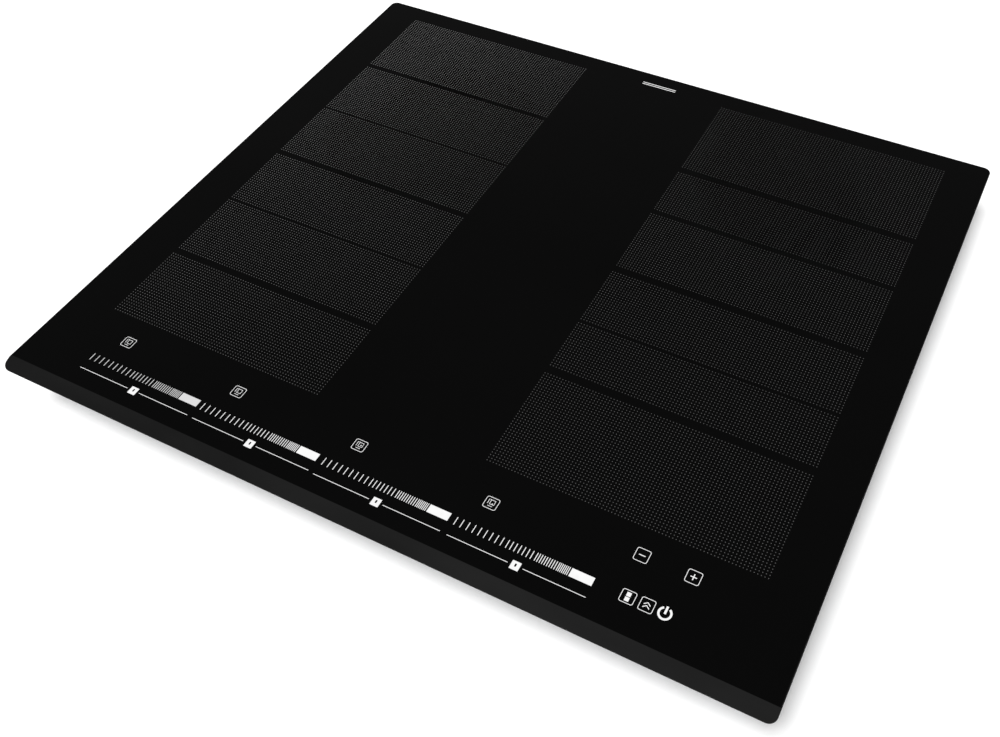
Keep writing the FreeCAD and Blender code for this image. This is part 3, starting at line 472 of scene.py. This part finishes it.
def step(operation, first, second):
    """One arithmetic step in a material."""
    node = nodes.new("ShaderNodeMath")
    node.operation = operation
    node.use_clamp = operation == "POWER"
    feed(links, node, (first, second))
    return node.outputs["Value"]


# The dots are painted lighter towards the rear left corner: painted light, as if lit from the rear left, over
# a random fleck in the enamel.
light_fade_right, light_reach_left = 0.16, 0.397
light_before_middle, light_reach_back = 0.4, 0.6
dot_base_tone, painted_light_extra = 0.078, 0.24
where = nodes.new("ShaderNodeTexCoord")
spot = nodes.new("ShaderNodeSeparateXYZ")
links.new(where.outputs["Object"], spot.inputs["Vector"])
leftward = step("DIVIDE", step("SUBTRACT", light_fade_right, spot.outputs["X"]), light_reach_left)
rearward = step("DIVIDE", step("ADD", spot.outputs["Y"], light_before_middle), light_reach_back)
painted_light_amount = step("POWER", step("MULTIPLY", step("MAXIMUM", leftward, 0.0), rearward), 2.0)
tone = placed_texture(nodes, links, "ShaderNodeTexNoise", 180)
fleck = step("ADD", 0.7, step("MULTIPLY", tone.outputs["Fac"], 0.6))
# Dot colour: a base tone plus painted light towards the rear left, times the random fleck.
dot_tone_and_painted_light = step("MULTIPLY", step("ADD", dot_base_tone, step("MULTIPLY", painted_light_amount, painted_light_extra)), fleck)
shade = nodes.new("ShaderNodeCombineColor")
for channel in ("Red", "Green", "Blue"):
    links.new(dot_tone_and_painted_light, shade.inputs[channel])
links.new(shade.outputs["Color"], shader.inputs["Base Color"])


def set_input(modifier, tree, name, value):
    """Gives one named size its value on a modifier."""
    socket = next(s for s in tree.interface.items_tree if s.name == name and s.in_out == "INPUT")
    modifier[socket.identifier] = value


def new_tree(name, sizes):
    """A Geometry Nodes tree with named sizes and one geometry result."""
    tree = bpy.data.node_groups.new(name, "GeometryNodeTree")
    for size, start in sizes.items():
        named = tree.interface.new_socket(size, in_out="INPUT", socket_type="NodeSocketFloat")
        named.default_value = start
    tree.interface.new_socket("Geometry", in_out="OUTPUT", socket_type="NodeSocketGeometry")
    return tree, tree.nodes.new("NodeGroupInput"), tree.nodes.new("NodeGroupOutput")


def printed_piece(name, tree, sizes, body):
    """Runs a tree with its sizes, keeps the plain mesh, and fixes it to a body."""
    holder = bpy.data.objects.new(name + "_pattern", bpy.data.meshes.new(name + "_pattern"))
    bpy.context.scene.collection.objects.link(holder)
    modifier = holder.modifiers.new("pattern", "NODES")
    modifier.node_group = tree
    for size, value in sizes.items():
        set_input(modifier, tree, size, value)
    bpy.context.view_layer.update()
    ready = holder.evaluated_get(bpy.context.evaluated_depsgraph_get())
    mesh = bpy.data.meshes.new_from_object(ready)
    bpy.data.objects.remove(holder)
    mesh.name = name
    piece = bpy.data.objects.new(name, mesh)
    bpy.context.scene.collection.objects.link(piece)
    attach(piece, body)


def maths(tree, operation, *terms):
    """One arithmetic step in a tree."""
    node = tree.nodes.new("ShaderNodeMath")
    node.operation = operation
    feed(tree.links, node, terms)
    return node.outputs["Value"]


def joined(tree, x, y, z):
    """Three terms as one vector."""
    node = tree.nodes.new("ShaderNodeCombineXYZ")
    feed(tree.links, node, (x, y, z))
    return node.outputs["Vector"]


dots, sizes, result = new_tree("dot_field", {
    "Left": 0.0, "Front": 0.0, "Width": 0.1, "Depth": 0.1,
    "Pitch": 0.002, "Radius": 0.0005, "Rise": 3e-5, "Level": 0.0,
})
columns = maths(dots, "ROUND", maths(dots, "DIVIDE", sizes.outputs["Width"], sizes.outputs["Pitch"]))
rows = maths(dots, "ROUND", maths(dots, "DIVIDE", sizes.outputs["Depth"], sizes.outputs["Pitch"]))
grid = dots.nodes.new("GeometryNodeMeshGrid")
dot_across = maths(dots, "MULTIPLY", sizes.outputs["Radius"], 2)
dots.links.new(maths(dots, "SUBTRACT", sizes.outputs["Width"], dot_across), grid.inputs["Size X"])
dots.links.new(maths(dots, "SUBTRACT", sizes.outputs["Depth"], dot_across), grid.inputs["Size Y"])
dots.links.new(columns, grid.inputs["Vertices X"])
dots.links.new(rows, grid.inputs["Vertices Y"])
shift = dots.nodes.new("GeometryNodeSetPosition")
dots.links.new(grid.outputs["Mesh"], shift.inputs["Geometry"])
centre_x = maths(dots, "ADD", sizes.outputs["Left"], maths(dots, "MULTIPLY", sizes.outputs["Width"], 0.5))
centre_y = maths(dots, "ADD", sizes.outputs["Front"], maths(dots, "MULTIPLY", sizes.outputs["Depth"], 0.5))
centre_z = maths(dots, "ADD", sizes.outputs["Level"], maths(dots, "MULTIPLY", sizes.outputs["Rise"], 0.5))
dots.links.new(joined(dots, centre_x, centre_y, centre_z), shift.inputs["Offset"])
bead = dots.nodes.new("GeometryNodeMeshCone")
bead.inputs["Vertices"].default_value = dot_sides
crown = maths(dots, "MULTIPLY", sizes.outputs["Radius"], dot_crown)
dots.links.new(crown, bead.inputs["Radius Top"])
dots.links.new(sizes.outputs["Radius"], bead.inputs["Radius Bottom"])
dots.links.new(sizes.outputs["Rise"], bead.inputs["Depth"])
lay = dots.nodes.new("GeometryNodeInstanceOnPoints")
dots.links.new(shift.outputs["Geometry"], lay.inputs["Points"])
dots.links.new(bead.outputs["Mesh"], lay.inputs["Instance"])
realise = dots.nodes.new("GeometryNodeRealizeInstances")
dots.links.new(lay.outputs["Instances"], realise.inputs["Geometry"])
paint = dots.nodes.new("GeometryNodeSetMaterial")
paint.inputs["Material"].default_value = grey_enamel
dots.links.new(realise.outputs["Geometry"], paint.inputs["Geometry"])
dots.links.new(paint.outputs["Geometry"], result.inputs["Geometry"])

for side, ((left, right_edge), rows_of_side) in field_rows.items():
    for number, (front, rear) in enumerate(rows_of_side, 1):
        printed_piece(f"dot_field_{side}_{number}", dots, {
            "Left": plate_left + left, "Front": plate_front + front,
            "Width": right_edge - left, "Depth": rear - front,
            "Pitch": dot_pitch, "Radius": dot_radius, "Rise": dot_rise, "Level": surface,
        }, "housing")

# ---------------------------------------------------------------- slider scales
# Four touch sliders in white enamel: ticks crowd together in four steps towards a solid block
# at the full-power end.
white_enamel, nodes, links, shader = material("white_enamel", (0.8, 0.8, 0.8), 0.0, 0.5)
shader.inputs["Specular IOR Level"].default_value = 0.3
tone = placed_texture(nodes, links, "ShaderNodeTexNoise", 240)
shades(nodes, links, tone.outputs["Fac"], (0.64, 0.64, 0.64), (0.74, 0.74, 0.74), shader)
print_rise = 0.00004

# The first scale is the flexible zone's own and is printed in a duller white.
dull_enamel, nodes, links, shader = material("dull_white_enamel", (0.5, 0.5, 0.5), 0.0, 0.55)
shader.inputs["Specular IOR Level"].default_value = 0.3
tone = placed_texture(nodes, links, "ShaderNodeTexNoise", 240)
shades(nodes, links, tone.outputs["Fac"], (0.48, 0.48, 0.48), (0.58, 0.58, 0.58), shader)

scale, sizes, result = new_tree("slider_scale", {
    "Left": 0.0, "Middle Y": 0.0, "Level": 0.0,
    "Tick Width": 0.00052, "Tick Height": 0.0060, "Rise": print_rise,
    "Wide Step": 0.00455, "Step Ease": 0.000045, "Middle Step": 0.00292, "Close Step": 0.0017,
    "Tight Step": 0.0012, "Block Start": 0.0822, "Block Length": 0.0157,
})
tick_count = 32
tick_runs = (("Wide Step", 0, 9), ("Middle Step", 9, 7), ("Close Step", 16, 9), ("Tight Step", 25, 6))
ticks = scale.nodes.new("GeometryNodePoints")
ticks.inputs["Count"].default_value = tick_count
index = scale.nodes.new("GeometryNodeInputIndex").outputs["Index"]
along = maths(scale, "MULTIPLY", sizes.outputs["Tick Width"], 0.5)
for step_name, first, count in tick_runs:
    begun = maths(scale, "MAXIMUM", maths(scale, "SUBTRACT", index, first), 0)
    passed = maths(scale, "MINIMUM", begun, count)
    along = maths(scale, "ADD", along, maths(scale, "MULTIPLY", passed, sizes.outputs[step_name]))
    if step_name == "Wide Step":
        eased = maths(scale, "MULTIPLY", passed, maths(scale, "SUBTRACT", passed, 1))
        along = maths(scale, "SUBTRACT", along, maths(scale, "MULTIPLY", eased, sizes.outputs["Step Ease"]))
level = maths(scale, "ADD", sizes.outputs["Level"], maths(scale, "MULTIPLY", sizes.outputs["Rise"], 0.5))
spot = joined(scale, maths(scale, "ADD", sizes.outputs["Left"], along), sizes.outputs["Middle Y"], level)
scale.links.new(spot, ticks.inputs["Position"])
tick = scale.nodes.new("GeometryNodeMeshCube")
tick_size = joined(scale, sizes.outputs["Tick Width"], sizes.outputs["Tick Height"], sizes.outputs["Rise"])
scale.links.new(tick_size, tick.inputs["Size"])
lay = scale.nodes.new("GeometryNodeInstanceOnPoints")
scale.links.new(ticks.outputs["Points"], lay.inputs["Points"])
scale.links.new(tick.outputs["Mesh"], lay.inputs["Instance"])
block = scale.nodes.new("GeometryNodeMeshCube")
block_size = joined(scale, sizes.outputs["Block Length"], sizes.outputs["Tick Height"], sizes.outputs["Rise"])
scale.links.new(block_size, block.inputs["Size"])
move = scale.nodes.new("GeometryNodeTransform")
scale.links.new(block.outputs["Mesh"], move.inputs["Geometry"])
block_left = maths(scale, "ADD", sizes.outputs["Left"], sizes.outputs["Block Start"])
block_x = maths(scale, "ADD", block_left, maths(scale, "MULTIPLY", sizes.outputs["Block Length"], 0.5))
scale.links.new(joined(scale, block_x, sizes.outputs["Middle Y"], level), move.inputs["Translation"])
both = scale.nodes.new("GeometryNodeJoinGeometry")
scale.links.new(lay.outputs["Instances"], both.inputs["Geometry"])
scale.links.new(move.outputs["Geometry"], both.inputs["Geometry"])
realise = scale.nodes.new("GeometryNodeRealizeInstances")
scale.links.new(both.outputs["Geometry"], realise.inputs["Geometry"])
paint = scale.nodes.new("GeometryNodeSetMaterial")
paint.inputs["Material"].default_value = white_enamel
scale.links.new(realise.outputs["Geometry"], paint.inputs["Geometry"])
scale.links.new(paint.outputs["Geometry"], result.inputs["Geometry"])

sliders = (
    ("slider_scale_1", 0.0550, 0.0355), ("slider_scale_2", 0.1569, 0.0348),
    ("slider_scale_3", 0.2599, 0.0343), ("slider_scale_4", 0.3626, 0.0338),
)
for name, left, middle_y in sliders:
    paint.inputs["Material"].default_value = dull_enamel if name == "slider_scale_1" else white_enamel
    printed_piece(name, scale, {
        "Left": plate_left + left, "Middle Y": plate_front + middle_y, "Level": surface,
    }, "housing")

# ---------------------------------------------------------------- lines, marks and keys
# Below each scale runs a fine line broken by a square mark; above it sits a zone key. Minus,
# plus, bridge, boost and power keys stand at the right. All are white enamel.


def slab_mesh(shapes):
    """Thin raised print from flat outlines given in millimetres about a centre."""
    form = bmesh.new()
    for outline in shapes:
        base = [form.verts.new((x / 1000, y / 1000, 0)) for x, y in outline]
        face = form.faces.new(base)
        raised = bmesh.ops.extrude_face_region(form, geom=[face])
        lifted = [item for item in raised["geom"] if isinstance(item, bmesh.types.BMVert)]
        bmesh.ops.translate(form, verts=lifted, vec=(0, 0, print_rise))
    bmesh.ops.recalc_face_normals(form, faces=form.faces)
    return form


def bar(x0, y0, x1, y1):
    """A plain rectangle."""
    return [(x0, y0), (x1, y0), (x1, y1), (x0, y1)]


def rounded_loop(half_x, half_y, radius, steps=5):
    """Corner points of a rounded rectangle, anticlockwise."""
    points = []
    for turn, (sx, sy) in enumerate(((1, 1), (-1, 1), (-1, -1), (1, -1))):
        for stop in range(steps + 1):
            angle = math.radians(90 * turn + 90 * stop / steps)
            points.append((
                sx * (half_x - radius) + radius * math.cos(angle),
                sy * (half_y - radius) + radius * math.sin(angle),
            ))
    return points


def band_mesh(form, outer, inner):
    """A closed ring of print between two loops of points."""
    levels = []
    for height in (0, print_rise):
        loops = [[form.verts.new((x / 1000, y / 1000, height)) for x, y in loop] for loop in (outer, inner)]
        levels.append(loops)
    count = len(outer)
    for i in range(count):
        j = (i + 1) % count
        low_out, low_in = levels[0]
        top_out, top_in = levels[1]
        form.faces.new((top_out[i], top_out[j], top_in[j], top_in[i]))
        form.faces.new((low_out[j], low_out[i], low_in[i], low_in[j]))
        form.faces.new((low_out[i], low_out[j], top_out[j], top_out[i]))
        form.faces.new((low_in[j], low_in[i], top_in[i], top_in[j]))


def print_piece(name, x, y, form):
    """Finishes a printed mark: sets its place on the glass and fixes it to the housing."""
    bmesh.ops.recalc_face_normals(form, faces=form.faces)
    bmesh.ops.translate(form, verts=form.verts, vec=(plate_left + x, plate_front + y, surface))
    mesh = bpy.data.meshes.new(name)
    form.to_mesh(mesh)
    form.free()
    mesh.materials.append(white_enamel)
    piece = bpy.data.objects.new(name, mesh)
    bpy.context.scene.collection.objects.link(piece)
    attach(piece, "housing")


line_half, slot_lift = 0.21, 0.4
marks = ((0.1038, 0.0242), (0.2065, 0.0238), (0.3091, 0.0230), (0.4123, 0.0226))
for number, (x, y) in enumerate(marks, 1):
    form = slab_mesh([bar(-49.5, -line_half, -5.4, line_half), bar(5.2, -line_half, 48.5, line_half)])
    slot = [(p, q + slot_lift) for p, q in rounded_loop(0.6, 1.15, 0.4)]
    band_mesh(form, rounded_loop(3.1, 3.05, 0.3), slot)
    print_piece(f"slider_line_{number}", x, y, form)


def key_frame(half_x, half_y, line=0.4, radius=1.4):
    """The outline of a touch key."""
    form = bmesh.new()
    inner = rounded_loop(half_x - line, half_y - line, radius - line * 0.8)
    band_mesh(form, rounded_loop(half_x, half_y, radius), inner)
    return form


def add_slabs(form, shapes):
    """Adds flat print shapes to a key."""
    extra = slab_mesh(shapes)
    spare = bpy.data.meshes.new("spare")
    extra.to_mesh(spare)
    extra.free()
    form.from_mesh(spare)
    bpy.data.meshes.remove(spare)


zone_keys = (
    (0.0698, 0.0573, -1, -1), (0.1715, 0.0561, -1, 1), (0.2744, 0.0555, 1, 1), (0.3767, 0.0552, 1, -1),
)
square_x, square_y = 0.6, 0.7
for number, (x, y, side_x, side_y) in enumerate(zone_keys, 1):
    form = key_frame(4.75, 4.4, 0.38)
    add_slabs(form, [
        bar(-2.6, -1.0, -2.25, 2.6), bar(-1.7, -2.5, 1.7, -2.15), bar(-1.9, 2.25, -0.9, 2.6),
        bar(0.9 * side_x - 0.35, side_y * 0.4 - 0.5, 0.9 * side_x + 0.35, side_y * 0.4 + 0.4),
    ])
    band_mesh(form, [(p + square_x, q + square_y) for p, q in rounded_loop(1.75, 1.8, 0.3, 2)],
              [(p + square_x, q + square_y) for p, q in rounded_loop(1.42, 1.47, 0.2, 2)])
    print_piece(f"zone_key_{number}", x, y, form)

form = key_frame(4.75, 4.7)
add_slabs(form, [bar(-2.2, -0.3, 2.2, 0.3)])
print_piece("minus_key", 0.4796, 0.0637, form)
form = key_frame(4.8, 4.7)
add_slabs(form, [bar(-2.15, -0.32, 2.15, 0.32), bar(-0.32, 0.34, 0.32, 2.2), bar(-0.32, -2.2, 0.32, -0.34)])
print_piece("plus_key", 0.5140, 0.0639, form)
form = key_frame(4.75, 4.5)
add_slabs(form, [bar(-1.45, 0.25, 1.45, 3.1), bar(-1.45, -3.1, 1.45, -0.25)])
print_piece("bridge_key", 0.4835, 0.0343, form)
form = key_frame(4.7, 4.6)
add_slabs(form, [
    [(0, lift + 1.6), (-2.2, lift), (-2.2, lift - 0.75), (0, lift + 0.95), (2.2, lift - 0.75), (2.2, lift)]
    for lift in (-1.55, 0.55)
])
print_piece("boost_key", 0.4961, 0.0343, form)

form = bmesh.new()
steps = 40
gap = math.radians(30)
ring_outer, ring_inner = 4.6, 3.2
arc = []
for stop in range(steps + 1):
    angle = math.pi / 2 + gap + (2 * math.pi - 2 * gap) * stop / steps
    arc.append((math.cos(angle), math.sin(angle)))
rings = []
for height in (0, print_rise):
    rings.append([
        [form.verts.new((r * c / 1000, r * s / 1000, height)) for c, s in arc]
        for r in (ring_outer, ring_inner)
    ])
for i in range(steps):
    low_out, low_in = rings[0]
    top_out, top_in = rings[1]
    form.faces.new((top_out[i], top_out[i + 1], top_in[i + 1], top_in[i]))
    form.faces.new((low_out[i + 1], low_out[i], low_in[i], low_in[i + 1]))
    form.faces.new((low_out[i], low_out[i + 1], top_out[i + 1], top_out[i]))
    form.faces.new((low_in[i + 1], low_in[i], top_in[i], top_in[i + 1]))
for i in (0, steps):
    form.faces.new((rings[0][0][i], rings[1][0][i], rings[1][1][i], rings[0][1][i]))
add_slabs(form, [bar(-0.72, -0.4, 0.72, 4.9)])
print_piece("power_key", 0.5079, 0.0342, form)

# ---------------------------------------------------------------- rear mark
# A short plain double bar at the middle of the back edge, where makers put their sign.
form = slab_mesh([bar(-16, 0.7, 16, 1.5), bar(-16, -1.5, 16, -0.7)])
print_piece("rear_mark", 0.2950, 0.5045, form)

# ---------------------------------------------------------------- floor and light
# Matte white paper under an even white sky, with one broad soft lamp nearly overhead.
paper, nodes, links, shader = material("studio_paper", (0.93, 0.93, 0.93), 0.0, 0.9)
shader.inputs["Specular IOR Level"].default_value = 0.1
bpy.ops.mesh.primitive_plane_add(size=40, location=(0, 0, 0))
floor = bpy.context.object
floor.name = "floor"
floor.data.materials.append(paper)

world = bpy.data.worlds.new("studio")
bpy.context.scene.world = world
world.use_nodes = True
world.node_tree.nodes["Background"].inputs["Color"].default_value = (1, 1, 1, 1)
world.node_tree.nodes["Background"].inputs["Strength"].default_value = 0.5
bpy.context.scene.view_settings.view_transform = "Standard"

lamp = bpy.data.lights.new("key", "SUN")
lamp.energy = 3.0
lamp.angle = math.radians(23)
key = bpy.data.objects.new("key", lamp)
lamp_turn, lamp_height = math.radians(-14), math.radians(70)
toward_lamp = Vector((
    math.sin(lamp_turn) * math.cos(lamp_height),
    -math.cos(lamp_turn) * math.cos(lamp_height),
    math.sin(lamp_height),
))
key.rotation_euler = toward_lamp.to_track_quat("Z", "Y").to_euler()
bpy.context.scene.collection.objects.link(key)
